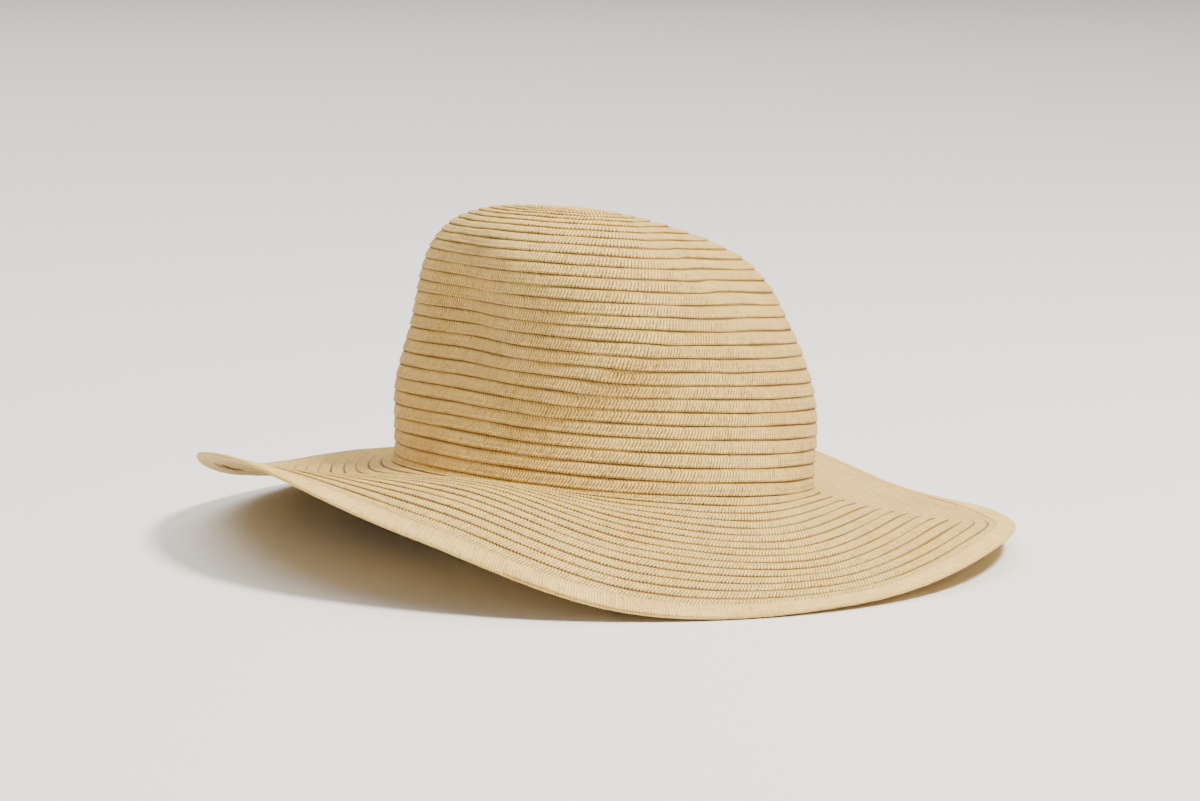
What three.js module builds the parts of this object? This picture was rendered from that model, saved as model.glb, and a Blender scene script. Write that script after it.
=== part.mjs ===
// Wide-brimmed sun hat sewn from one spiral of flat paper braid: a dome crown with soft folds,
// a waving brim, a doubled edge round, and a cloth band inside the head opening.
// Millimetres, +Z up, front toward -Y, resting by itself on its brim edge on z = 0.
import * as THREE from "three";

// Head opening, an oval of 58 cm
const HEAD_HALF_WIDTH = 83.5;
const HEAD_HALF_LENGTH = 100.5;
const HEAD_MEAN = (HEAD_HALF_WIDTH + HEAD_HALF_LENGTH) / 2;

// Crown
const CROWN_HEIGHT = 113;
const CROWN_SQUARENESS = 3.1;
const CROWN_TAPER = 0.096;
const CROWN_LEAN_SIDE = -18;
const CROWN_LEAN_BACK = 19;
const CROWN_FOOT = 2.2;
const CROWN_FACETS = 36;
const CROWN_INNER_RINGS = 10;

// Braid rows, each lapping the next one out
const ROW_PITCH = 5.6;
const BRAID_THICKNESS = 1.2;
const LAP_STEP = 0.6;
const LAP_RUN = 0.5;
const TIP_BUTTON = 0.8;
const TIP_ROUND = 3;

// Brim and its doubled edge round
const BRIM_WIDTH = 89;
const BRIM_ROWS = 15;
const BRIM_FACETS = 44;
const EDGE_WIDTH = 8.2;
const EDGE_THICKNESS = 2.8;
const EDGE_ROUNDNESS = 0.65;
const EDGE_SIDES = 10;
const REACH_STEPS = 12;

// Cloth band inside the opening
const BAND_HEIGHT = 28;
const BAND_THICKNESS = 1;
const BAND_HEM = 1.6;
const BAND_HEM_HEIGHT = 4;
const BAND_STAND_OFF = 0.9;
const BAND_LEAN = 1.8;

// Clear space between sewn pieces
const GAP = 0.3;

// Folds of the crown every 30 degrees from the front toward the wearer's left:
// push outward at a fifth, two fifths and three fifths of the way up the wall
const CROWN_FOLDS = [
  { azimuth: 0, foot: -9, waist: -4, shoulder: 2 },
  { azimuth: 30, foot: -4, waist: -3, shoulder: -9 },
  { azimuth: 60, foot: 7, waist: 9, shoulder: 13 },
  { azimuth: 90, foot: 5, waist: 9, shoulder: 4 },
  { azimuth: 120, foot: 0, waist: 5, shoulder: 2 },
  { azimuth: 150, foot: -2, waist: -1, shoulder: 0 },
  { azimuth: 180, foot: -2, waist: -2, shoulder: 0 },
  { azimuth: 210, foot: -3, waist: -5, shoulder: -2 },
  { azimuth: 240, foot: 2, waist: -4, shoulder: -2 },
  { azimuth: 270, foot: -8, waist: -17, shoulder: -6 },
  { azimuth: 300, foot: -6, waist: -6, shoulder: 1 },
  { azimuth: 330, foot: -6, waist: 0, shoulder: 5 },
];

// Waves of the brim at the same places: height of its edge over the opening,
// and how far its middle bows above a straight line
const BRIM_WAVES = [
  { azimuth: 0, edge: -29, bow: -3 },
  { azimuth: 30, edge: -11, bow: 0 },
  { azimuth: 60, edge: -9, bow: -6 },
  { azimuth: 90, edge: -10, bow: 2 },
  { azimuth: 120, edge: 5, bow: 7 },
  { azimuth: 150, edge: -4, bow: 3 },
  { azimuth: 180, edge: -20, bow: 4 },
  { azimuth: 210, edge: -18, bow: 3 },
  { azimuth: 240, edge: 0, bow: -8 },
  { azimuth: 270, edge: 5, bow: -2 },
  { azimuth: 300, edge: -13, bow: 9 },
  { azimuth: 330, edge: -35, bow: 4 },
];

// A smooth value between b and c, with their neighbours a and d
function between(a, b, c, d, t) {
  const cubic = 3 * (b - c) + d - a;
  const square = 2 * a - 5 * b + 4 * c - d;
  return b + 0.5 * t * (c - a + t * (square + t * cubic));
}

// A column of a table at any azimuth, closed round the head
function aroundHead(rows, column, azimuth) {
  const count = rows.length;
  const place = (azimuth / 360) * count;
  const first = Math.floor(place);
  const value = (step) => rows[(first + step + 2 * count) % count][column];
  return between(value(-1), value(0), value(1), value(2), place - first);
}

// The wall of the crown from the opening to the tip, before its folds
class CrownLine extends THREE.Curve {
  getPoint(share, target = new THREE.Vector3()) {
    const turn = (share * Math.PI) / 2;
    const power = 2 / CROWN_SQUARENESS;
    const rise = Math.pow(Math.sin(turn), power);
    const width = Math.pow(Math.max(Math.cos(turn), 0), power) * (1 - CROWN_TAPER * rise);
    return target.set(width, rise * CROWN_HEIGHT / HEAD_MEAN, 0).multiplyScalar(HEAD_MEAN);
  }
}

const crownLine = new CrownLine();
crownLine.arcLengthDivisions = 1200;
const CROWN_LENGTH = crownLine.getLength();

function foldPush(azimuth, share) {
  const levels = ["foot", "waist", "shoulder"].map((name) => aroundHead(CROWN_FOLDS, name, azimuth));
  const pushes = [0, ...levels, 0, 0];
  const last = pushes.length - 1;
  const place = share * last;
  const first = Math.min(Math.floor(place), last - 1);
  const value = (step) => pushes[THREE.MathUtils.clamp(first + step, 0, last)];
  return between(value(-1), value(0), value(1), value(2), place - first);
}

// A place on the crown's inner side, by its distance from the tip down the wall
function crownPoint(azimuth, along) {
  const share = THREE.MathUtils.clamp(1 - along / CROWN_LENGTH, 0, 1);
  const wall = crownLine.getPointAt(share);
  const push = foldPush(azimuth, share);
  const width = wall.x / HEAD_MEAN;
  const lean = (wall.y / CROWN_HEIGHT) ** 2;
  const angle = THREE.MathUtils.degToRad(azimuth);
  return new THREE.Vector3(
    Math.sin(angle) * (HEAD_HALF_WIDTH * width + push) + CROWN_LEAN_SIDE * lean,
    -Math.cos(angle) * (HEAD_HALF_LENGTH * width + push) + CROWN_LEAN_BACK * lean,
    wall.y,
  );
}

// The crown's wall stands on the brim, higher where the brim rises away from the opening
function crownWall(azimuth, along) {
  const edge = aroundHead(BRIM_WAVES, "edge", azimuth);
  const bow = aroundHead(BRIM_WAVES, "bow", azimuth);
  const rise = Math.max((edge + 4 * bow) / BRIM_WIDTH, 0);
  const foot = CROWN_FOOT + rise * (BRAID_THICKNESS + LAP_STEP);
  return crownPoint(azimuth, along * (1 - foot / CROWN_LENGTH));
}

// A place on the brim's underside, by its distance from the opening out along the braid
function brimPoint(azimuth, out) {
  const edge = aroundHead(BRIM_WAVES, "edge", azimuth);
  const bow = aroundHead(BRIM_WAVES, "bow", azimuth);
  const share = out / BRIM_WIDTH;
  let reach = 0;
  for (let step = 0; step < REACH_STEPS; step += 1) {
    const middle = (share * (step + 0.5)) / REACH_STEPS;
    const slope = (edge + 4 * bow * (1 - 2 * middle)) / BRIM_WIDTH;
    reach += (Math.sqrt(1 - slope * slope) * out) / REACH_STEPS;
  }
  const angle = THREE.MathUtils.degToRad(azimuth);
  const side = Math.sin(angle);
  const front = -Math.cos(angle);
  const outward = new THREE.Vector2(side / HEAD_HALF_WIDTH, front / HEAD_HALF_LENGTH).normalize();
  return new THREE.Vector3(
    HEAD_HALF_WIDTH * side + outward.x * reach,
    HEAD_HALF_LENGTH * front + outward.y * reach,
    edge * share + 4 * bow * share * (1 - share),
  );
}

// The same place raised off the surface: outward on the crown, straight up at its tip, upward on the brim
function raised(surface, azimuth, along, lift) {
  const place = surface(azimuth, along);
  const atTip = surface === crownWall && along < TIP_ROUND;
  if (atTip) return place.setZ(place.z + lift);
  const down = surface(azimuth, along + 0.5).sub(surface(azimuth, along - 0.5));
  const round = surface(azimuth + 1, along).sub(surface(azimuth - 1, along));
  return place.addScaledVector(down.cross(round).normalize(), lift);
}

// A ring of wall bent onto the surface; its section runs outward on the raised side and back below
function sewnRing(surface, section, facets) {
  section.reverse();
  const geometry = new THREE.LatheGeometry(section, facets);
  const position = geometry.getAttribute("position");
  for (let index = 0; index < position.count; index += 1) {
    const facet = Math.floor(index / section.length) % facets;
    const corner = section[index % section.length];
    const place = raised(surface, (360 * facet) / facets, corner.x, corner.y);
    position.setXYZ(index, place.x, place.y, place.z);
  }
  return geometry;
}

// Section of the crown: lapped rows outside, plain inside, meeting at the tip
function crownSection() {
  const foot = CROWN_LENGTH;
  const rows = Math.floor(foot / ROW_PITCH);
  const section = [new THREE.Vector2(0, BRAID_THICKNESS + TIP_BUTTON)];
  for (let row = rows - 1; row >= 1; row -= 1) {
    const lap = foot - row * ROW_PITCH;
    section.push(new THREE.Vector2(lap, BRAID_THICKNESS + LAP_STEP));
    section.push(new THREE.Vector2(lap + LAP_RUN, BRAID_THICKNESS));
  }
  section.push(new THREE.Vector2(foot, BRAID_THICKNESS + LAP_STEP));
  for (let ring = CROWN_INNER_RINGS; ring >= 0; ring -= 1) {
    section.push(new THREE.Vector2((foot * ring) / CROWN_INNER_RINGS, 0));
  }
  return section;
}

// Section of the brim: on top each row laps the next one out, below each stands over the next one in
function brimSection() {
  const width = BRIM_WIDTH - EDGE_WIDTH - GAP;
  const pitch = width / BRIM_ROWS;
  const section = [];
  for (let row = 0; row < BRIM_ROWS; row += 1) {
    section.push(new THREE.Vector2(row * pitch + (row ? LAP_RUN : 0), BRAID_THICKNESS));
    section.push(new THREE.Vector2((row + 1) * pitch, BRAID_THICKNESS + LAP_STEP));
  }
  for (let row = BRIM_ROWS - 1; row >= 0; row -= 1) {
    const last = row === BRIM_ROWS - 1;
    section.push(new THREE.Vector2((row + 1) * pitch - (last ? 0 : LAP_RUN), 0));
    section.push(new THREE.Vector2(row * pitch, -LAP_STEP));
  }
  section.push(section[0].clone());
  return section;
}

// Section of the edge round: flat above and below with a rounded lip
function edgeSection() {
  const section = [];
  const middle = BRIM_WIDTH - EDGE_WIDTH / 2;
  const level = BRAID_THICKNESS / 2;
  for (let side = 0; side <= EDGE_SIDES; side += 1) {
    const angle = (2 * Math.PI * side) / EDGE_SIDES;
    const across = Math.cos(angle);
    const up = Math.sin(angle);
    const round = (part) => Math.sign(part) * Math.pow(Math.abs(part), EDGE_ROUNDNESS);
    section.push(new THREE.Vector2(
      middle - (round(across) * EDGE_WIDTH) / 2,
      level + (round(up) * EDGE_THICKNESS) / 2,
    ));
  }
  return section;
}

// Section of the band: a hem at the opening and a wall that leans off the crown
function bandSection() {
  const foot = CROWN_LENGTH;
  const hem = foot - BAND_HEM_HEIGHT;
  const top = foot - BAND_HEIGHT;
  const outer = -BAND_STAND_OFF;
  return [
    new THREE.Vector2(top, outer - BAND_LEAN),
    new THREE.Vector2((top + hem) / 2, outer - BAND_LEAN / 3),
    new THREE.Vector2(hem, outer),
    new THREE.Vector2(foot, outer),
    new THREE.Vector2(foot, outer - BAND_HEM),
    new THREE.Vector2(hem, outer - BAND_HEM),
    new THREE.Vector2(hem - 1, outer - BAND_THICKNESS),
    new THREE.Vector2((top + hem) / 2, outer - BAND_LEAN / 3 - BAND_THICKNESS),
    new THREE.Vector2(top, outer - BAND_LEAN - BAND_THICKNESS),
    new THREE.Vector2(top, outer - BAND_LEAN),
  ];
}

// Volume-weighted middle of closed surfaces
function balancePoint(geometries) {
  const middle = new THREE.Vector3();
  const corners = [new THREE.Vector3(), new THREE.Vector3(), new THREE.Vector3()];
  let total = 0;
  for (const geometry of geometries) {
    const position = geometry.getAttribute("position");
    const index = geometry.getIndex();
    for (let first = 0; first < index.count; first += 3) {
      corners.forEach((corner, k) => corner.fromBufferAttribute(position, index.getX(first + k)));
      const [a, b, c] = corners;
      const volume = a.dot(new THREE.Vector3().crossVectors(b, c)) / 6;
      total += volume;
      middle.addScaledVector(a, volume / 4).addScaledVector(b, volume / 4).addScaledVector(c, volume / 4);
    }
  }
  return middle.divideScalar(total);
}

// The plane under three points of the edge that the hat settles on
function restingPlane(points, balance) {
  const foot = new THREE.Vector3();
  for (let i = 0; i < points.length; i += 1) {
    for (let j = i + 1; j < points.length; j += 1) {
      for (let k = j + 1; k < points.length; k += 1) {
        const plane = new THREE.Plane().setFromCoplanarPoints(points[i], points[j], points[k]);
        if (plane.normal.z < 0) plane.negate();
        const clear = points.every((point) => plane.distanceToPoint(point) > -1e-6);
        if (!clear) continue;
        const stance = new THREE.Triangle(points[i], points[j], points[k]);
        if (stance.containsPoint(plane.projectPoint(balance, foot))) return plane;
      }
    }
  }
  throw new Error("the hat finds no three points to rest on");
}

const geometries = {
  crown: sewnRing(crownWall, crownSection(), CROWN_FACETS),
  brim: sewnRing(brimPoint, brimSection(), BRIM_FACETS),
  brim_edge: sewnRing(brimPoint, edgeSection(), BRIM_FACETS),
  sweatband: sewnRing(crownPoint, bandSection(), CROWN_FACETS),
};

const looks = {
  crown: { color: 0xe6cf9c, roughness: 0.8 },
  brim: { color: 0xdcc390, roughness: 0.8 },
  brim_edge: { color: 0xd8be8a, roughness: 0.75 },
  sweatband: { color: 0xa07a4e, roughness: 0.6 },
};

// Lowest point of the edge at each facet
const edgePlaces = geometries.brim_edge.getAttribute("position");
const edgeLows = [];
for (let facet = 0; facet < BRIM_FACETS; facet += 1) {
  const ring = [];
  for (let side = 0; side < EDGE_SIDES; side += 1) {
    ring.push(new THREE.Vector3().fromBufferAttribute(edgePlaces, facet * (EDGE_SIDES + 1) + side));
  }
  edgeLows.push(ring.reduce((low, point) => (point.z < low.z ? point : low)));
}

const floor = restingPlane(edgeLows, balancePoint(Object.values(geometries)));
const upright = new THREE.Matrix4().makeRotationFromQuaternion(
  new THREE.Quaternion().setFromUnitVectors(floor.normal, new THREE.Vector3(0, 0, 1)),
);

const hat = new THREE.Group();
hat.name = "straw_sun_hat";
const bounds = new THREE.Box3();
for (const [name, geometry] of Object.entries(geometries)) {
  geometry.applyMatrix4(upright);
  geometry.computeBoundingBox();
  bounds.union(geometry.boundingBox);
  const material = new THREE.MeshStandardMaterial({ ...looks[name], metalness: 0 });
  const mesh = new THREE.Mesh(geometry, material);
  mesh.name = name;
  hat.add(mesh);
}

const centre = bounds.getCenter(new THREE.Vector3());
for (const mesh of hat.children) mesh.geometry.translate(-centre.x, -centre.y, -bounds.min.z);

export default hat;
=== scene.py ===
import math

import bmesh
import bpy
import numpy as np
from mathutils import Matrix, Vector


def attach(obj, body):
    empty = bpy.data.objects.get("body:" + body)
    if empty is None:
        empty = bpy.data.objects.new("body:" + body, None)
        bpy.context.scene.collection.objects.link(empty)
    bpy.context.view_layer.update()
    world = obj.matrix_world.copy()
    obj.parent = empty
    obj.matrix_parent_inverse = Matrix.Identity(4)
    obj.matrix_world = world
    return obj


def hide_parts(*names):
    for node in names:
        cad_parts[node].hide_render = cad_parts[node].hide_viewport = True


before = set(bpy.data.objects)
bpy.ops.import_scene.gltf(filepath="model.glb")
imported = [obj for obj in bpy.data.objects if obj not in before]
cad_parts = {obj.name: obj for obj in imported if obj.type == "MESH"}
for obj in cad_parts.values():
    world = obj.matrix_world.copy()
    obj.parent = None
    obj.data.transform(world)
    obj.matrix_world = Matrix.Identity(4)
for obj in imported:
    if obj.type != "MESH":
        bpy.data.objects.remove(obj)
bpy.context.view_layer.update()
mm = 0.001
curveSteps = 4000  # points taken to measure the length of a curve

# The hat's own form, in mm: rim of the opening at z = 0, crown up, front toward -Y
hatForm = {
    "halfWidth": 83.5,
    "halfLength": 100.5,
    "crownHeight": 113,
    "squareness": 3.1,
    "taper": 0.096,
    "leanSide": -18,
    "leanBack": 19,
    "brimWidth": 89,
    "rimBend": 4.5,  # radius of the soft bend from crown to brim
}

# Push of the crown wall every 30 degrees, from the front toward +X
crownFolds = {
    "foot": (-9, -4, 7, 5, 0, -2, -2, -3, 2, -8, -6, -6),
    "waist": (-4, -3, 9, 9, 5, -1, -2, -5, -4, -17, -6, 0),
    "shoulder": (2, -9, 13, 4, 2, 0, 0, -2, -2, -6, 1, 5),
}

# Height of the brim's edge and bow of its middle at the same places
brimWaves = {
    "edge": (-29, -11, -9, -10, 5, -4, -20, -18, 0, 5, -13, -35),
    "bow": (-3, 0, -6, 2, 7, 3, 4, 3, -8, -2, 9, 4),
}

# Sharper fold climbing the crown, between two places in (azimuth, mm up the wall)
crownCrease = {
    "low": (300, 32),
    "high": (345, 67),
    "push": 4.6,
    "width": 13,
    "rounding": 3,
    "reach": 0.55,  # to either side of its middle, as a share of its length
    "fadePower": 4,
}

# How the hat settles on three points of its edge
hatRest = {"floorNormal": (-0.08824, -0.02871, 0.99569), "shift": (0.276, -0.567, 25.401)}
meanHalf = (hatForm["halfWidth"] + hatForm["halfLength"]) / 2

# Steps that find which way the surface faces: mm down the wall, degrees round, mm kept from the tip
normalStep = {"down": 0.6, "around": 0.7, "fromTip": 3}


# Smooth curve through evenly spaced values, t of the way from the second to the third
def smoothBetween(a, b, c, d, t):
    return b + 0.5 * t * (c - a + t * (2 * a - 5 * b + 4 * c - d + t * (3 * (b - c) + d - a)))


# Value at any azimuth from a ring of values round the head
def roundHead(column, azimuth):
    values = np.array(column, float)
    count = len(values)
    place = np.asarray(azimuth) / 360 * count
    first = np.floor(place).astype(int)
    near = [values[(first + step) % count] for step in (-1, 0, 1, 2)]
    return smoothBetween(*near, place - first)


# The crown's upright outline: length from the rim, share of the width, share of the height
def crownLine():
    turn = np.linspace(0, math.pi / 2, curveSteps)
    power = 2 / hatForm["squareness"]
    rise = np.sin(turn) ** power
    width = np.clip(np.cos(turn), 0, 1) ** power * (1 - hatForm["taper"] * rise)
    steps = np.hypot(np.diff(width) * meanHalf, np.diff(rise) * hatForm["crownHeight"])
    return np.concatenate([[0], np.cumsum(steps)]), width, rise


lineLength, lineWidth, lineRise = crownLine()
crownLength = float(lineLength[-1])


def foldPush(azimuth, share):
    still = np.zeros_like(azimuth)
    levels = [roundHead(crownFolds[name], azimuth) for name in ("foot", "waist", "shoulder")]
    pushes = np.stack([still, *levels, still, still])
    last = len(pushes) - 1
    place = share * last
    first = np.minimum(np.floor(place).astype(int), last - 1)
    column = np.arange(len(azimuth))
    near = [pushes[np.clip(first + step, 0, last), column] for step in (-1, 0, 1, 2)]
    return smoothBetween(*near, place - first)


def creasePush(azimuth, along):
    low, high = crownCrease["low"], crownCrease["high"]
    perDegree = math.radians(meanHalf)
    around = ((azimuth - low[0] + 180) % 360 - 180) * perDegree
    up = crownLength - along - low[1]
    runAround, runUp = (high[0] - low[0]) * perDegree, high[1] - low[1]
    run = math.hypot(runAround, runUp)
    share = (around * runAround + up * runUp) / run**2
    aside = (around * runUp - up * runAround) / run
    fade = np.exp(-(((share - 0.5) / crownCrease["reach"]) ** crownCrease["fadePower"]))
    rounding = crownCrease["rounding"]
    away = (np.hypot(aside, rounding) - rounding) / crownCrease["width"]
    return crownCrease["push"] * fade * np.exp(-away)


def crownPoint(azimuth, along):
    share = np.clip(1 - along / crownLength, 0, 1)
    width = np.interp(share * crownLength, lineLength, lineWidth)
    rise = np.interp(share * crownLength, lineLength, lineRise)
    push = foldPush(azimuth, share) + creasePush(azimuth, along)
    angle = np.radians(azimuth)
    side = np.sin(angle) * (hatForm["halfWidth"] * width + push) + hatForm["leanSide"] * rise**2
    back = -np.cos(angle) * (hatForm["halfLength"] * width + push) + hatForm["leanBack"] * rise**2
    return np.stack([side, back, hatForm["crownHeight"] * rise], 1)


def brimPoint(azimuth, out):
    width = hatForm["brimWidth"]
    edge = roundHead(brimWaves["edge"], azimuth)
    bow = roundHead(brimWaves["bow"], azimuth)
    share = out / width
    steps = 12  # the brim keeps its width along the slope
    reach = np.zeros_like(out)
    for step in range(steps):
        slope = (edge + 4 * bow * (1 - 2 * share * (step + 0.5) / steps)) / width
        reach += np.sqrt(1 - slope**2) * out / steps
    angle = np.radians(azimuth)
    side, front = np.sin(angle), -np.cos(angle)
    outX, outY = side / hatForm["halfWidth"], front / hatForm["halfLength"]
    size = np.hypot(outX, outY)
    x = hatForm["halfWidth"] * side + outX / size * reach
    y = hatForm["halfLength"] * front + outY / size * reach
    return np.stack([x, y, edge * share + 4 * bow * share * (1 - share)], 1)


# The whole surface: along is mm from the tip, down the crown and out over the brim
def hatPoint(azimuth, along):
    bend = hatForm["rimBend"]
    crown = crownPoint(azimuth, np.minimum(along, crownLength - bend))
    brim = brimPoint(azimuth, np.maximum(along - crownLength, bend))
    rim = brimPoint(azimuth, np.zeros_like(azimuth))
    t = np.clip((along - crownLength + bend) / (2 * bend), 0, 1)[:, None]
    return crown * (1 - t) ** 2 + 2 * rim * t * (1 - t) + brim * t**2


def hatNormal(azimuth, along):
    near = np.maximum(along, normalStep["fromTip"])
    stepDown, stepAround = normalStep["down"], normalStep["around"]
    down = hatPoint(azimuth, near + stepDown) - hatPoint(azimuth, near - stepDown)
    around = hatPoint(azimuth + stepAround, near) - hatPoint(azimuth - stepAround, near)
    normal = np.cross(down, around)
    return normal / np.linalg.norm(normal, axis=1)[:, None]


restTurn = np.array(
    Vector(hatRest["floorNormal"]).rotation_difference(Vector((0, 0, 1))).to_matrix()
)


# Places on the hat raised off its surface, set on the floor, in metres
def onHat(azimuth, along, lift):
    azimuth, along = np.asarray(azimuth, float), np.asarray(along, float)
    points = hatPoint(azimuth, along) + hatNormal(azimuth, along) * np.asarray(lift)[:, None]
    return (points @ restTurn.T + np.array(hatRest["shift"])) * mm


print("hat form ready, crown wall", round(crownLength, 1), "mm")


# A flat grid whose corners run 0 to 1 both ways, to be bent onto the hat
def flatGrid(stepsAlong, stepsAcross):
    bm = bmesh.new()
    half = Matrix.Translation((0.5, 0.5, 0))
    bmesh.ops.create_grid(bm, x_segments=stepsAlong, y_segments=stepsAcross, size=0.5, matrix=half)
    return bm


def gridShares(bm):
    places = np.array([vert.co[:2] for vert in bm.verts])
    return places[:, 0], places[:, 1]


def moveGrid(bm, points):
    for vert, point in zip(bm.verts, points):
        vert.co = point


# UV map from each vertex's place, in metres along and across
def layUv(bm, along, across):
    layer = bm.loops.layers.uv.new("braid")
    for face in bm.faces:
        for loop in face.loops:
            loop[layer].uv = (along[loop.vert.index], across[loop.vert.index])


# Wall thickness as a live modifier, growing outward (1) or to both sides (0)
def thicken(piece, label, thickness, offset):
    wall = piece.modifiers.new(label, "SOLIDIFY")
    wall.thickness = thickness * mm
    wall.offset = offset


def finishMesh(mesh, name, material):
    mesh.shade_smooth()
    mesh.materials.append(material)
    piece = bpy.data.objects.new(name, mesh)
    bpy.context.scene.collection.objects.link(piece)
    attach(piece, "root")
    return piece


def finishPiece(bm, name, material):
    mesh = bpy.data.meshes.new(name)
    bm.to_mesh(mesh)
    bm.free()
    return finishMesh(mesh, name, material)


ringUvWidth = 0.022  # metres of UV map given to a ring's whole section
weldDistance = 1e-6


# Closed ring round the hat from a section of places in (distance along, lift)
def hatRing(name, steps, section, material, roundLength):
    bm = flatGrid(*steps)
    bm.verts.index_update()
    share, side = gridShares(bm)
    azimuth = share * 360
    along, lift = section(azimuth, side)
    moveGrid(bm, onHat(azimuth, along, lift))
    layUv(bm, share * roundLength * mm, side * ringUvWidth)
    bmesh.ops.remove_doubles(bm, verts=bm.verts, dist=weldDistance)
    bmesh.ops.recalc_face_normals(bm, faces=bm.faces)
    return finishPiece(bm, name, material)


# Small helper that adds and joins the nodes of one material
class Nodes:
    def __init__(self, name):
        self.material = bpy.data.materials.new(name)
        self.material.use_nodes = True
        self.tree = self.material.node_tree
        self.shader = self.tree.nodes["Principled BSDF"]

    def add(self, kind, **settings):
        node = self.tree.nodes.new(kind)
        for key, value in settings.items():
            setattr(node, key, value)
        return node

    def join(self, source, target):
        self.tree.links.new(source, target)

    def math(self, operation, first, second=0.0, third=0.0):
        node = self.add("ShaderNodeMath", operation=operation)
        for socket, value in zip(node.inputs, (first, second, third)):
            if isinstance(value, (int, float)):
                socket.default_value = value
            else:
                self.join(value, socket)
        return node.outputs[0]

    def noise(self, vector, scale, detail=2.0, rough=0.5):
        node = self.add("ShaderNodeTexNoise")
        node.inputs["Scale"].default_value = scale
        node.inputs["Detail"].default_value = detail
        node.inputs["Roughness"].default_value = rough
        self.join(vector, node.inputs["Vector"])
        return node.outputs["Fac"]

    def ramp(self, factor, stops, colours):
        node = self.add("ShaderNodeValToRGB")
        for element, place, colour in zip(node.color_ramp.elements, stops, colours):
            element.position = place
            element.color = (*colour, 1)
        self.join(factor, node.inputs["Fac"])
        return node.outputs["Color"]

    def tint(self, factor, base, colour):
        node = self.add("ShaderNodeMix", data_type="RGBA")
        self.join(factor, node.inputs[0])  # the sockets of its colour form are 0, 6 and 7
        self.join(base, node.inputs[6])
        node.inputs[7].default_value = (*colour, 1)
        return node.outputs[2]

    def bump(self, height, strength, distance):
        node = self.add("ShaderNodeBump")
        node.inputs["Strength"].default_value = strength
        node.inputs["Distance"].default_value = distance
        self.join(height, node.inputs["Height"])
        self.join(node.outputs["Normal"], self.shader.inputs["Normal"])


# Plaited paper braid: slanted strands meet in a V along each row, following the piece's UV map
braidLook = {
    "strand": 1.45,  # mm along the braid from one strand to the next
    "slant": 0.55,  # how far the strands lean along the braid for each mm across it
    "fibre": 0.5,  # mm between the fine lines lengthwise
    "lapShadowLine": -1.6,  # mm across, where the neighbouring row's edge casts its shadow, painted as a dark line
    "lapShadowWidth": 0.46,
    "lapShadowShare": 0.85,
    # colour of the painted lap shadow
    "lapShadowColour": (0.11, 0.068, 0.022),
    "seamShadeLine": 2.15,  # mm across, painted shade in the sewn groove
    # width of the painted shade line in the sewn groove
    "seamWidth": 0.3,
    "seamShadeShare": 0.34,
    "pale": (0.97, 0.67, 0.19),
    "tan": (0.80, 0.50, 0.12),
    "shade": (0.19, 0.113, 0.036),
    "gapShare": 0.96,
    "strokeShare": 0.36,  # irregular darker strokes where strands cross, painted shade in the dips there
    "bump": 1.0,
    "twoFaced": False,  # true where the underside is seen and its painted lap shadow falls on the other side
}

# Uneven straw, as noise in (steps per mm along the braid, steps per mm across it, detail)
strawGrain = {
    "patches": (0.16, 0.22, 2),
    "dashes": (1.1, 0.3, 2),
    "streak": (0.07, 0.9, 3),
    "puckers": (0.33, 0.05, 2),
    "strokes": (0.62, 0.2, 1),
    "rough": 0.6,
    "dashShift": 0.7,  # mm that the dashes push a strand out of step
    "dashDepthShare": 0.5,
    "mottle": 24,  # steps per metre of the large soft patches of colour
    "mottleDetail": 4,
    "mottleShare": 0.5,  # of the tone, the rest being streaks
}
# Where each pattern starts and ends on its scale
strawStops = {"strokes": (0.52, 0.72), "gapDepthNoise": (0.5, 0.85), "gap": (0.05, 0.62), "tone": (0.34, 0.58)}
strawRelief = {"fibre": 0.06, "gap": 0.9, "strokes": 0.7, "puckers": 1.2, "height": 0.6}
strawFinish = {"roughness": 0.42, "streakRoughness": 0.3, "sheen": 0.04, "specular": 0.32}
black, dim, white = (0, 0, 0), (0.35, 0.35, 0.35), (1, 1, 1)


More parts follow.
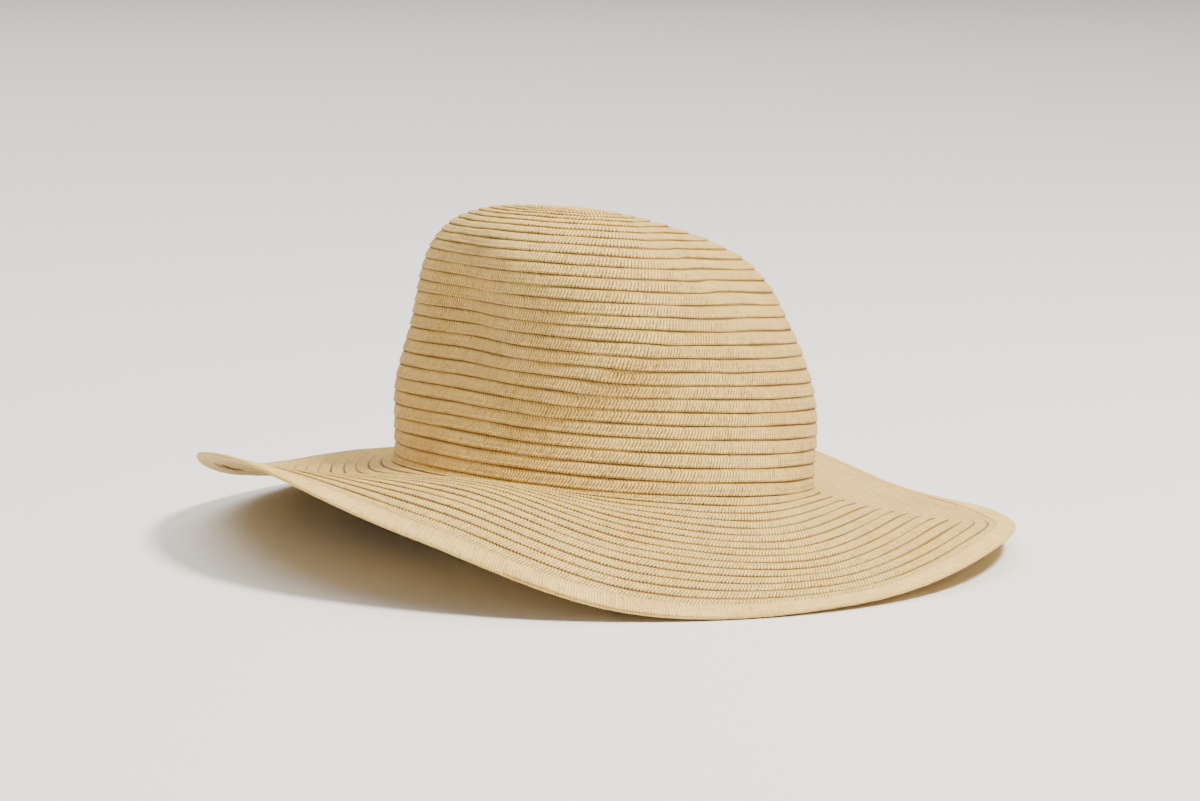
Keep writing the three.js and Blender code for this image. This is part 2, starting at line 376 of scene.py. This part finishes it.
def braidMaterial(name, look):
    n = Nodes(name)
    uv = n.add("ShaderNodeUVMap", uv_map="braid")
    split = n.add("ShaderNodeSeparateXYZ")
    n.join(uv.outputs["UV"], split.inputs[0])
    length = n.math("MULTIPLY", split.outputs[0], 1000)  # in mm from here on
    width = n.math("MULTIPLY", split.outputs[1], 1000)

    lean = n.math("MULTIPLY", n.math("ABSOLUTE", width), look["slant"])
    slanted = n.math("ADD", length, lean)

    def grain(kind, along=length):
        alongScale, acrossScale, detail = strawGrain[kind]
        place = n.add("ShaderNodeCombineXYZ")
        n.join(n.math("MULTIPLY", along, alongScale), place.inputs[0])
        n.join(n.math("MULTIPLY", width, acrossScale), place.inputs[1])
        return n.noise(place.outputs[0], 1.0, detail, strawGrain["rough"])

    def lineAt(across, middle, spread, share):
        off = n.math("DIVIDE", n.math("SUBTRACT", across, middle), spread)
        line = n.math("EXPONENT", n.math("MULTIPLY", n.math("MULTIPLY", off, off), -1))
        return n.math("MULTIPLY", line, share)

    # Strands, the gaps between them and the strokes where they cross; gaps and strokes are darkened as
    # painted shade
    patches, dashes, streak, puckers = [
        grain(kind) for kind in ("patches", "dashes", "streak", "puckers")
    ]
    strokes = n.ramp(grain("strokes", slanted), strawStops["strokes"], (black, white))
    place = n.math("ADD", slanted, n.math("MULTIPLY", dashes, strawGrain["dashShift"]))
    strand = n.math("ABSOLUTE", n.math("SINE", n.math("MULTIPLY", place, math.pi / look["strand"])))
    fibre = n.math("SINE", n.math("MULTIPLY", width, 2 * math.pi / look["fibre"]))
    gapDepthNoise = n.math("ADD", patches, n.math("MULTIPLY", dashes, strawGrain["dashDepthShare"]))
    gapDepth = n.ramp(gapDepthNoise, strawStops["gapDepthNoise"], (dim, white))
    gap = n.math("MULTIPLY", n.ramp(strand, strawStops["gap"], (white, black)), gapDepth)

    # Painted shadow line along the row where the next one laps it, and painted shade in the groove
    # where it is sewn
    coords = n.add("ShaderNodeTexCoord")
    faced = width
    if look["twoFaced"]:
        upward = n.add("ShaderNodeSeparateXYZ")
        n.join(coords.outputs["Normal"], upward.inputs[0])
        faced = n.math("MULTIPLY", width, n.math("SIGN", upward.outputs[2]))
    lapShadowLine = lineAt(faced, look["lapShadowLine"], look["lapShadowWidth"], look["lapShadowShare"])
    seamShadeLine = lineAt(faced, look["seamShadeLine"], look["seamWidth"], look["seamShadeShare"])

    # Colour, roughness and relief
    mottleScale, mottleDetail = strawGrain["mottle"], strawGrain["mottleDetail"]
    mottle = n.noise(coords.outputs["Object"], mottleScale, mottleDetail, strawGrain["rough"])
    mottleTone = n.math("MULTIPLY", mottle, strawGrain["mottleShare"])
    tone = n.math("ADD", mottleTone, n.math("MULTIPLY", streak, 1 - strawGrain["mottleShare"]))
    base = n.ramp(tone, strawStops["tone"], (look["tan"], look["pale"]))
    strokeDark = n.math("MULTIPLY", strokes, look["strokeShare"])
    paintedShade = n.math("MAXIMUM", n.math("MULTIPLY", gap, look["gapShare"]), strokeDark)
    # painted shade in the sewn groove joins the darkening
    paintedShade = n.math("MAXIMUM", paintedShade, seamShadeLine)
    # painted shade: strand gaps, crossing strokes and the sewn groove darkened toward the shade colour
    straw = n.tint(paintedShade, base, look["shade"])
    # painted lap shadow darkens the straw along the row
    n.join(n.tint(lapShadowLine, straw, look["lapShadowColour"]), n.shader.inputs["Base Color"])
    streaky = n.math("MULTIPLY_ADD", streak, strawFinish["streakRoughness"], strawFinish["roughness"])
    n.join(streaky, n.shader.inputs["Roughness"])
    raised = n.math("MULTIPLY", fibre, strawRelief["fibre"])
    relief = n.math("SUBTRACT", raised, n.math("MULTIPLY", gap, strawRelief["gap"]))
    relief = n.math("SUBTRACT", relief, n.math("MULTIPLY", strokes, strawRelief["strokes"]))
    relief = n.math("ADD", relief, n.math("MULTIPLY", puckers, strawRelief["puckers"]))
    n.bump(relief, look["bump"], strawRelief["height"] * mm)
    n.shader.inputs["Sheen Weight"].default_value = strawFinish["sheen"]
    n.shader.inputs["Specular IOR Level"].default_value = strawFinish["specular"]
    return n.material


crownMaterial = braidMaterial("crownBraid", braidLook)
brimLook = {
    **braidLook,
    "pale": (0.95, 0.655, 0.185),
    "lapShadowWidth": 0.54,
    "lapShadowShare": 0.95,
    "twoFaced": True,
}
brimMaterial = braidMaterial("brimBraid", brimLook)
edgeLook = {
    **braidLook,
    "strand": 1.2,
    "slant": 0.1,
    "pale": (0.95, 0.66, 0.20),
    "gapShare": 0.5,
    "strokeShare": 0.35,
    "lapShadowShare": 0.0,
    "seamShadeShare": 0.0,
    "bump": 0.6,
}
edgeMaterial = braidMaterial("edgeBraid", edgeLook)
print("braid materials ready")


# The braid is one spiral from the tip of the crown out to the edge
braidRow = {
    "pitch": 5.6,
    "lap": 1.7,
    "thickness": 0.9,
    "lapRise": 1.55,
    "arch": 0.42,
    "base": -0.4,
    "seam": 0.59,  # sewn groove on top, as a share of the half width
    "seamDepth": 0.26,
    "selvedge": -0.72,  # groove beside the inner edge underneath
    "selvedgeDepth": 0.22,
    "grooveWidth": 0.09,
    "firstTurn": 0.42,
    "rimTurn": 30.27,
    "lastTurn": 45.35,
    "firstStitchTurn": 1.2,
    "hemTurn": 43.9,  # last turn with its own row of stitches, inside the hem
    "start": 300,  # azimuth where the spiral sets out
    "fromTip": 0.05,  # mm that the first coil keeps from the tip
    "crownSteps": 150,  # grid steps a turn
    "brimSteps": 300,
    "pressTurns": (29.8, 31.3, 41.5, 44.0),  # rows lie flatter on the brim and inside its edge
    "press": (1, 0.78, 0.7, 0.45),
    "stops": (-1, -0.84, -0.72, -0.6, -0.1, 0.45, 0.59, 0.73, 1),  # points of the section
}
halfRow = (braidRow["pitch"] + braidRow["lap"]) / 2


def groove(across, place, depth):
    return depth * np.exp(-(((across - place) / braidRow["grooveWidth"]) ** 2))


def braidLift(turn, across):
    lift = braidRow["base"] + braidRow["lapRise"] * (across + 1) / 2
    lift = lift + braidRow["arch"] * (1 - across**2)
    lift = lift - groove(across, braidRow["seam"], braidRow["seamDepth"])
    lift = lift + groove(across, braidRow["selvedge"], braidRow["selvedgeDepth"])
    return lift * np.interp(turn, braidRow["pressTurns"], braidRow["press"])


# Small wander of the hand-guided rows, as waves of (mm, waves a turn, phase)
rowWaves = {
    "sideways": ((0.14, 5.31, 0), (0.08, 11.7, 1)),
    "upward": ((0.09, 7.13, 2), (0.06, 17.3, 0)),
}


def rowWander(turn, way):
    angle = 2 * math.pi * turn
    return sum(size * np.sin(angle * rate + phase) for size, rate, phase in rowWaves[way])


# Places on the spiral at a turn and a share across the row
def onBraid(turn, across, raised=0.0):
    along = turn * braidRow["pitch"] + across * halfRow + rowWander(turn, "sideways")
    lift = braidLift(turn, across) + rowWander(turn, "upward") + raised
    return onHat(braidRow["start"] + turn * 360, np.maximum(along, braidRow["fromTip"]), lift)


# Turns and the length of braid up to each, along its middle line
def braidLengths(fromTurn, toTurn):
    line = np.linspace(fromTurn, toTurn, curveSteps)
    spots = onHat(braidRow["start"] + line * 360, line * braidRow["pitch"], np.zeros_like(line))
    steps = np.linalg.norm(np.diff(spots, axis=0), axis=1)
    return line, np.concatenate([[0], np.cumsum(steps)])


# A length of the spiral between two turns
def braidSpiral(name, fromTurn, toTurn, stepsPerTurn, material):
    stops = braidRow["stops"]
    bm = flatGrid(int((toTurn - fromTurn) * stepsPerTurn), len(stops) - 1)
    bm.verts.index_update()
    share, side = gridShares(bm)
    turn = fromTurn + share * (toTurn - fromTurn)
    across = np.interp(side, np.linspace(0, 1, len(stops)), stops)
    moveGrid(bm, onBraid(turn, across))
    line, lengths = braidLengths(fromTurn, toTurn)
    layUv(bm, np.interp(turn, line, lengths), across * halfRow * mm)
    bmesh.ops.reverse_faces(bm, faces=bm.faces)  # so that the thickness grows outward
    piece = finishPiece(bm, name, material)
    thicken(piece, "braid thickness", braidRow["thickness"], 1)
    print(name, "holds", round(float(lengths[-1]), 2), "m of braid")
    return piece


firstTurn, rimTurn, lastTurn = braidRow["firstTurn"], braidRow["rimTurn"], braidRow["lastTurn"]
crown = braidSpiral("crown_braid", firstTurn, rimTurn, braidRow["crownSteps"], crownMaterial)
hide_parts("crown")
brim = braidSpiral("brim_braid", rimTurn, lastTurn, braidRow["brimSteps"], brimMaterial)
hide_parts("brim")


# Coiled start of the braid that closes the tip
tipCoil = {"radius": 3.4, "height": 1.5, "edge": 0.5, "eye": 0.02, "round": 20, "steps": (32, 6)}


def tipSection(azimuth, side):
    along = tipCoil["radius"] * (1 - side) + tipCoil["eye"]
    lift = tipCoil["edge"] + (tipCoil["height"] - tipCoil["edge"]) * np.sin(side * math.pi / 2)
    return along, lift


tip = hatRing("crown_tip_coil", tipCoil["steps"], tipSection, crownMaterial, tipCoil["round"])

# Sewing thread: one short stitch after another along the seam of every row
threadLook = {
    "length": 2.5,
    "step": 4.7,
    "width": 0.4,
    "height": 0.3,
    "proud": 0.02,  # mm that a stitch's middle stands off the straw
    "colour": (0.90, 0.68, 0.36),
    "twistShade": 0.72,  # share of the colour in the hollows of the twist, painted shade
    "twist": 1400,  # noise steps per metre
    "twistStops": (0.35, 0.65),
    "roughness": 0.34,
    "sheen": 0.2,
}


def threadMaterial(name, look):
    n = Nodes(name)
    coords = n.add("ShaderNodeTexCoord")
    twist = n.noise(coords.outputs["Object"], look["twist"])
    # painted shade in the hollows of the thread's twist
    twistShade = tuple(look["twistShade"] * part for part in look["colour"])
    colour = n.ramp(twist, look["twistStops"], (twistShade, look["colour"]))
    n.join(colour, n.shader.inputs["Base Color"])
    n.shader.inputs["Roughness"].default_value = look["roughness"]
    n.shader.inputs["Sheen Weight"].default_value = look["sheen"]
    return n.material


thread = threadMaterial("sewingThread", threadLook)

# Small steps from a stitch's middle that give its heading, in turns or degrees, and its upright, in mm
stitchStep = {"turns": 0.002, "degrees": 0.3, "up": 1}


# A stitch is a small ball, 1 mm across and then stretched; a seam's stitches are one mesh from arrays
def sewnSeam(name, middle, ahead, above):
    ball = bmesh.new()
    bmesh.ops.create_icosphere(ball, subdivisions=1, radius=0.5 * mm)
    corners = np.array([vert.co[:] for vert in ball.verts])
    corners = corners * (threadLook["length"], threadLook["width"], threadLook["height"])
    sides = np.array([[vert.index for vert in face.verts] for face in ball.faces])
    ball.free()
    x = ahead - middle
    x /= np.linalg.norm(x, axis=1)[:, None]
    y = np.cross(above - middle, x)
    y /= np.linalg.norm(y, axis=1)[:, None]
    turned = np.stack([x, y, np.cross(x, y)], 1)
    points = middle[:, None, :] + corners @ turned
    faces = sides[None] + len(corners) * np.arange(len(middle))[:, None, None]
    mesh = bpy.data.meshes.new(name)
    mesh.from_pydata(points.reshape(-1, 3).tolist(), [], faces.reshape(-1, 3).tolist())
    piece = finishMesh(mesh, name, thread)
    print(name, len(middle), "stitches")


def rowSeam(name, fromTurn, toTurn, across, raised):
    line, lengths = braidLengths(fromTurn, toTurn)
    step = threadLook["step"] * mm
    turn = np.interp(np.arange(0.5, lengths[-1] / step) * step, lengths, line)
    share = np.full(len(turn), across)
    middle = onBraid(turn, share, raised)
    ahead = onBraid(turn + stitchStep["turns"], share, raised)
    above = onBraid(turn, share, raised + stitchStep["up"])
    sewnSeam(name, middle, ahead, above)


underThread = -threadLook["proud"]
topThread = braidRow["thickness"] + threadLook["proud"]
firstStitch, hemTurn = braidRow["firstStitchTurn"], braidRow["hemTurn"]
rowSeam("crown_stitches", firstStitch, rimTurn, braidRow["seam"], topThread)
rowSeam("brim_stitches", rimTurn, hemTurn, braidRow["seam"], topThread)
rowSeam("brim_under_stitches", rimTurn, hemTurn, braidRow["selvedge"], underThread)


# Doubled last round with a rounded lip, sewn down along its inner side
edgeRound = {
    "width": 8.4,
    "thickness": 2.1,
    "level": 0.85,
    "roundness": 0.62,  # of the lip
    "innerRound": 0.24,  # of the sewn inner side
    "dimple": 0.04,
    "dimples": 96,
    "seam": 6.4,  # mm in from the lip
    "seamDepth": 0.3,
    "seamWidth": 0.55,
    "stitch": 3.6,
    "stagger": 0.25,  # of a stitch, to opposite sides on the two faces
    "proud": 0.05,
    "round": 1130,  # mm along the lip
    "steps": (480, 44),
}
lip = crownLength + hatForm["brimWidth"]


# Lift of the edge's upper or lower face at a distance in from the lip
def edgeFace(fromLip, facing):
    across = 1 - 2 * np.asarray(fromLip) / edgeRound["width"]
    power = 2 / np.where(across < 0, edgeRound["innerRound"], edgeRound["roundness"])
    swell = np.clip(1 - np.abs(across) ** power, 0, 1) ** (1 / power)
    aside = (fromLip - edgeRound["seam"]) / edgeRound["seamWidth"]
    seam = np.exp(-(aside**2)) * edgeRound["seamDepth"]
    return edgeRound["level"] + facing * (swell * edgeRound["thickness"] / 2 - seam)


def edgeSection(azimuth, side):
    angle = side * 2 * math.pi
    across, facing = np.cos(angle), np.where(np.sin(angle) < 0, -1, 1)
    power = np.where(across < 0, edgeRound["innerRound"], edgeRound["roundness"])
    across = np.sign(across) * np.abs(across) ** power
    fromLip = (1 - across) * edgeRound["width"] / 2
    dimple = edgeRound["dimple"] * np.sin(np.radians(azimuth) * edgeRound["dimples"])
    return lip - fromLip, edgeFace(fromLip, facing) + dimple


brimEdge = hatRing("brim_edge_round", edgeRound["steps"], edgeSection, edgeMaterial, edgeRound["round"])
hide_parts("brim_edge")


def edgeSeam(name, facing):
    count = int(edgeRound["round"] / edgeRound["stitch"])
    azimuth = (np.arange(count) + edgeRound["stagger"] * facing) / count * 360
    along = np.full(count, lip - edgeRound["seam"])
    face = np.full(count, edgeFace(edgeRound["seam"], facing) + edgeRound["proud"] * facing)
    middle = onHat(azimuth, along, face)
    ahead = onHat(azimuth + stitchStep["degrees"], along, face)
    above = onHat(azimuth, along, face + stitchStep["up"])
    sewnSeam(name, middle, ahead, above)


edgeSeam("edge_stitches", 1)
edgeSeam("edge_under_stitches", -1)

# Where the braid runs out, its end is tucked along the edge
edgeTail = {
    "azimuth": 313,
    "turn": 34,  # degrees from the end to where it is lost in the edge
    "inner": 6.0,
    "outer": 0.55,
    "taper": 0.75,
    "thickness": 0.8,
    "proud": 0.06,
    "endDip": 0.8,  # mm that the cut end is pressed down
    "endFall": 3,
    "endRound": 0.07,
    "sinkDip": 1.3,  # mm that the far end sinks into the edge
    "sinkPower": 1.5,
    "steps": (90, 10),
}


def tailPlaces(share, side):
    azimuth = edgeTail["azimuth"] + share * edgeTail["turn"]
    inner = edgeTail["inner"] * (1 - edgeTail["taper"] * share**2)
    fromLip = edgeTail["outer"] + (inner - edgeTail["outer"]) * (1 - side)
    endDip = edgeTail["endDip"] * np.exp(-share / edgeTail["endRound"] * edgeTail["endFall"])
    dip = endDip + edgeTail["sinkDip"] * share ** edgeTail["sinkPower"]
    return azimuth, lip - fromLip, edgeFace(fromLip, 1) + edgeTail["proud"] - dip


def tuckedTail(name):
    bm = flatGrid(*edgeTail["steps"])
    bm.verts.index_update()
    share, side = gridShares(bm)
    azimuth, along, lift = tailPlaces(share, side)
    moveGrid(bm, onHat(azimuth, along, lift))
    layUv(bm, azimuth / 360 * edgeRound["round"] * mm, (lip - along) * mm)
    bmesh.ops.reverse_faces(bm, faces=bm.faces)
    piece = finishPiece(bm, name, edgeMaterial)
    thicken(piece, "braid thickness", edgeTail["thickness"], 1)
    return piece


tail = tuckedTail("brim_edge_tail")
print("edge round ready")


# Smooth cloth band inside the opening, with a piped fold along the rim and a lapped join at the back
bandLook = {
    "height": 28,
    "length": 566,
    "standOff": 1.3,
    "lean": 1.5,
    "leanPower": 1.5,
    "thickness": 0.6,
    "fromRim": 0.4,
    "wave": 0.35,
    "waves": 7,
    "wavePhase": 1.3,
    "join": 180,
    "joinTurn": 8,
    "joinRise": 0.65,
    "pipe": 0.95,
    "pipeFromRim": 0.3,
    "steps": (360, 12),
    "pipeSteps": (300, 12),
    "warp": 0.6,  # mm between threads
    "weft": 0.5,
    "bump": 0.25,
    "bumpHeight": 0.2,
    "mottle": 60,  # steps per metre
    "mottleDetail": 3,
    "mottleRough": 0.55,
    "mottleStops": (0.3, 0.7),
    "colour": (0.37, 0.205, 0.085),
    "light": (0.43, 0.25, 0.11),
    "roughness": 0.42,
    "mottleRoughness": 0.2,
    "sheen": 0.1,
}


def bandMaterial(name, look):
    n = Nodes(name)
    uv = n.add("ShaderNodeUVMap", uv_map="braid")
    split = n.add("ShaderNodeSeparateXYZ")
    n.join(uv.outputs["UV"], split.inputs[0])
    warp = n.math("SINE", n.math("MULTIPLY", split.outputs[0], 2 * math.pi / (look["warp"] * mm)))
    weft = n.math("SINE", n.math("MULTIPLY", split.outputs[1], 2 * math.pi / (look["weft"] * mm)))
    n.bump(n.math("MULTIPLY", warp, weft), look["bump"], look["bumpHeight"] * mm)
    coords = n.add("ShaderNodeTexCoord")
    mottleScale, mottleDetail, mottleRough = look["mottle"], look["mottleDetail"], look["mottleRough"]
    mottle = n.noise(coords.outputs["Object"], mottleScale, mottleDetail, mottleRough)
    colour = n.ramp(mottle, look["mottleStops"], (look["colour"], look["light"]))
    n.join(colour, n.shader.inputs["Base Color"])
    uneven = n.math("MULTIPLY_ADD", mottle, look["mottleRoughness"], look["roughness"])
    n.join(uneven, n.shader.inputs["Roughness"])
    n.shader.inputs["Sheen Weight"].default_value = look["sheen"]
    return n.material


bandCloth = bandMaterial("bandCloth", bandLook)


def bandSection(azimuth, side):
    rise = side * bandLook["height"]
    turns = np.radians(azimuth) * bandLook["waves"] + bandLook["wavePhase"]
    wave = bandLook["wave"] * np.sin(turns) * side
    pastJoin = azimuth - bandLook["join"]
    lap = np.where((pastJoin > 0) & (pastJoin < bandLook["joinTurn"]), bandLook["joinRise"], 0)
    along = crownLength - bandLook["fromRim"] - rise
    lift = -(bandLook["standOff"] + bandLook["lean"] * side ** bandLook["leanPower"] + wave + lap)
    return along, lift


def pipeSection(azimuth, side):
    angle = side * 2 * math.pi
    along = crownLength - bandLook["pipeFromRim"] + bandLook["pipe"] * np.cos(angle)
    return along, -bandLook["standOff"] + bandLook["pipe"] * np.sin(angle)


band = hatRing("sweatband_cloth", bandLook["steps"], bandSection, bandCloth, bandLook["length"])
thicken(band, "cloth thickness", bandLook["thickness"], 0)
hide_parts("sweatband")
piping = hatRing("sweatband_piping", bandLook["pipeSteps"], pipeSection, bandCloth, bandLook["length"])
print("band ready")

# Pale floor
floorLook = {"size": 30.0, "colour": (0.86, 0.85, 0.83), "roughness": 0.7}
bm = bmesh.new()
bmesh.ops.create_grid(bm, x_segments=1, y_segments=1, size=floorLook["size"])
floorMesh = bpy.data.meshes.new("floor")
bm.to_mesh(floorMesh)
bm.free()
floorNodes = Nodes("paleFloor")
floorNodes.shader.inputs["Base Color"].default_value = (*floorLook["colour"], 1)
floorNodes.shader.inputs["Roughness"].default_value = floorLook["roughness"]
floorMesh.materials.append(floorNodes.material)
floor = bpy.data.objects.new("floor", floorMesh)
bpy.context.scene.collection.objects.link(floor)


# Soft studio light, in metres and watts: a warm key, a weak fill and a wide ceiling behind the hat
hatMiddle = (0, 0, 0.06)
studioLights = {
    "key": {
        "place": (0.55, -1.05, 2.0),
        "aim": hatMiddle,
        "size": 0.55,
        "power": 118,
        "colour": (1.0, 0.93, 0.83),
    },
    "fill": {
        "place": (-1.7, -1.3, 0.8),
        "aim": hatMiddle,
        "size": 1.4,
        "power": 4,
        "colour": (1.0, 0.95, 0.88),
    },
    "ceiling": {
        "place": (0.3, 2.4, 4.2),
        "aim": (0.3, 2.4, 0),
        "size": 6.0,
        "power": 320,
        "colour": (1.0, 0.98, 0.95),
    },
}
roomLight = {"colour": (1.0, 0.98, 0.95), "strength": 0.34}


def softLight(name, look):
    lamp = bpy.data.lights.new(name, "AREA")
    lamp.shape = "DISK"
    lamp.size = look["size"]
    lamp.energy = look["power"]
    lamp.color = look["colour"]
    holder = bpy.data.objects.new(name, lamp)
    holder.location = look["place"]
    toAim = Vector(look["aim"]) - Vector(look["place"])
    holder.rotation_euler = toAim.to_track_quat("-Z", "Y").to_euler()
    bpy.context.scene.collection.objects.link(holder)


for name, look in studioLights.items():
    softLight(name, look)
world = bpy.data.worlds.new("studio")
world.use_nodes = True
background = world.node_tree.nodes["Background"]
background.inputs["Color"].default_value = (*roomLight["colour"], 1)
background.inputs["Strength"].default_value = roomLight["strength"]
bpy.context.scene.world = world
print("floor and lights ready")

# Camera on the photograph's side of the hat, low over the floor
cameraPlace = {
    "azimuth": -34.4,
    "elevation": 9,
    "distance": 1.5,
    "lens": 104,
    "sensor": 36,
    "aim": (0, 0, 0.058),
}
azimuth, elevation = math.radians(cameraPlace["azimuth"]), math.radians(cameraPlace["elevation"])
back = Vector((
    math.sin(azimuth) * math.cos(elevation),
    -math.cos(azimuth) * math.cos(elevation),
    math.sin(elevation),
))
cameraData = bpy.data.cameras.new("camera")
cameraData.lens = cameraPlace["lens"]
cameraData.sensor_width = cameraPlace["sensor"]
camera = bpy.data.objects.new("camera", cameraData)
camera.location = Vector(cameraPlace["aim"]) + back * cameraPlace["distance"]
camera.rotation_euler = (-back).to_track_quat("-Z", "Y").to_euler()
bpy.context.scene.collection.objects.link(camera)
bpy.context.scene.camera = camera


print("scene ready")
